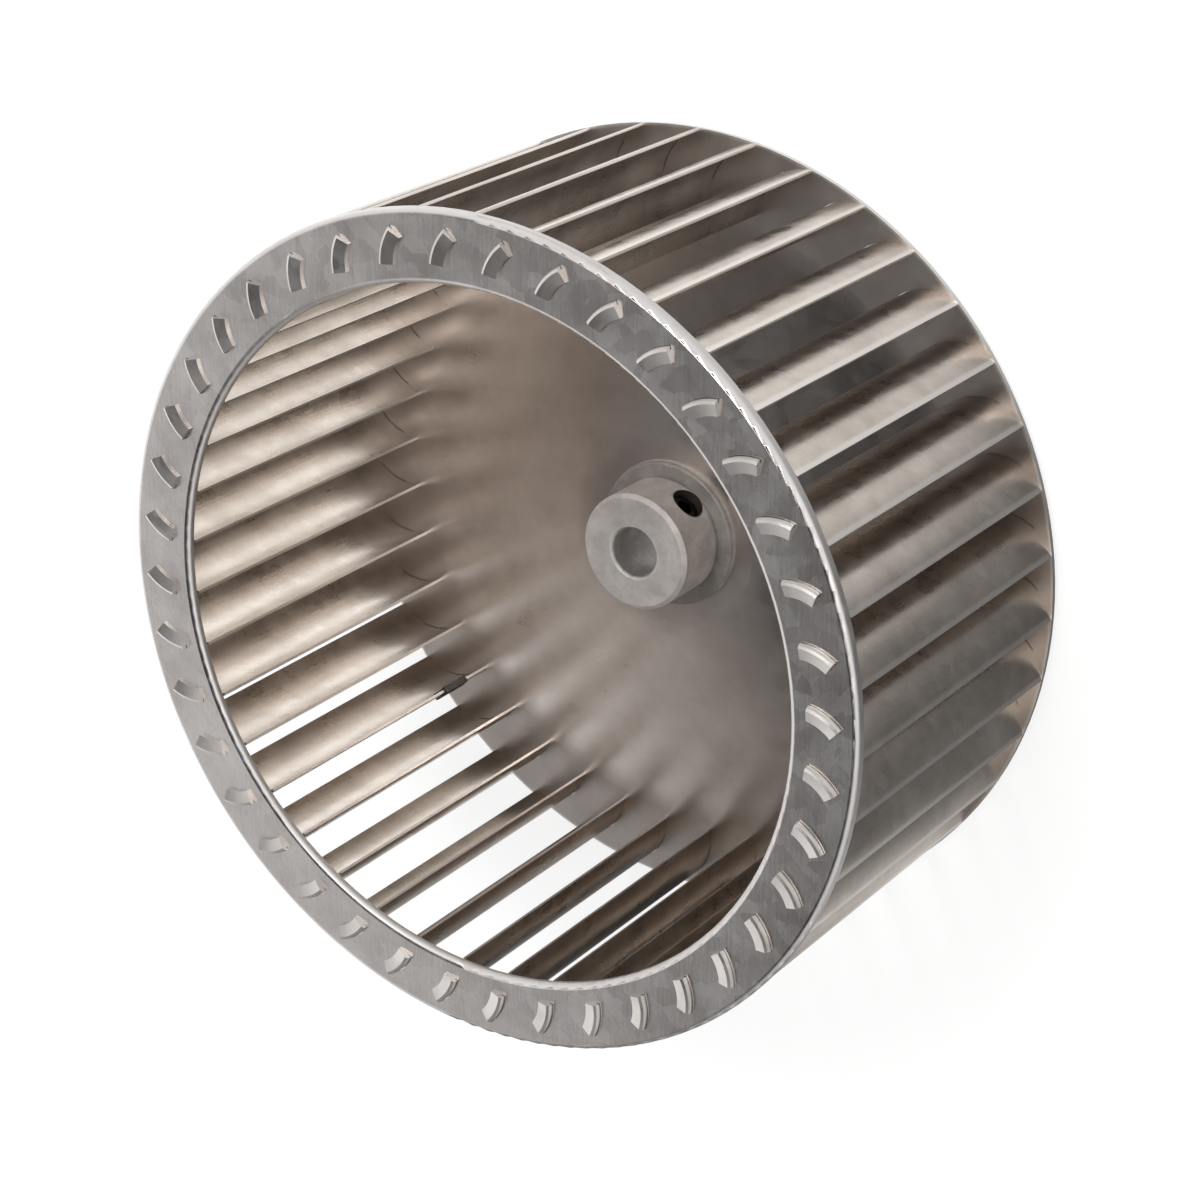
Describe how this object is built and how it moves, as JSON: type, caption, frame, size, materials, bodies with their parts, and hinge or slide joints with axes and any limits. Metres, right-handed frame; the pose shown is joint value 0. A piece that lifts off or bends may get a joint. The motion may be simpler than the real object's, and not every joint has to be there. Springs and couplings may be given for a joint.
{
  "type": "blower wheel",
  "caption": "Forward-curved blower wheel: 40 rolled blades clinched through a flat inlet ring and a dished back disc, with a staked hub bored for a 12.7 mm shaft.",
  "frame": {"origin": "on the shaft axis, in the plane of the rear tabs' folds, on which the wheel stands", "axes": "+Z along the shaft axis towards the inlet; +X and +Y in that plane"},
  "size_m": [0.2032, 0.2032, 0.0959],
  "materials": {
    "ring_sheet": "galvanised sheet, satin",
    "disc_sheet": "galvanised sheet, satin",
    "blade_sheet": "galvanised sheet, semi-gloss",
    "hub_steel": "turned and zinc plated, satin",
    "screw_steel": "black oxide",
    "clip_steel": "dark spring steel"
  },
  "bodies": {
    "root": {"inlet_ring": "ring_sheet", "back_disc": "disc_sheet", "blade_01": "blade_sheet", "blade_02": "blade_sheet", "blade_03": "blade_sheet", "blade_04": "blade_sheet", "blade_05": "blade_sheet", "blade_06": "blade_sheet", "blade_07": "blade_sheet", "blade_08": "blade_sheet", "blade_09": "blade_sheet", "blade_10": "blade_sheet", "blade_11": "blade_sheet", "blade_12": "blade_sheet", "blade_13": "blade_sheet", "blade_14": "blade_sheet", "blade_15": "blade_sheet", "blade_16": "blade_sheet", "blade_17": "blade_sheet", "blade_18": "blade_sheet", "blade_19": "blade_sheet", "blade_20": "blade_sheet", "blade_21": "blade_sheet", "blade_22": "blade_sheet", "blade_23": "blade_sheet", "blade_24": "blade_sheet", "blade_25": "blade_sheet", "blade_26": "blade_sheet", "blade_27": "blade_sheet", "blade_28": "blade_sheet", "blade_29": "blade_sheet", "blade_30": "blade_sheet", "blade_31": "blade_sheet", "blade_32": "blade_sheet", "blade_33": "blade_sheet", "blade_34": "blade_sheet", "blade_35": "blade_sheet", "blade_36": "blade_sheet", "blade_37": "blade_sheet", "blade_38": "blade_sheet", "blade_39": "blade_sheet", "blade_40": "blade_sheet", "hub": "hub_steel", "set_screw": "screw_steel", "balance_clip": "clip_steel"}
  },
  "joints": []
}
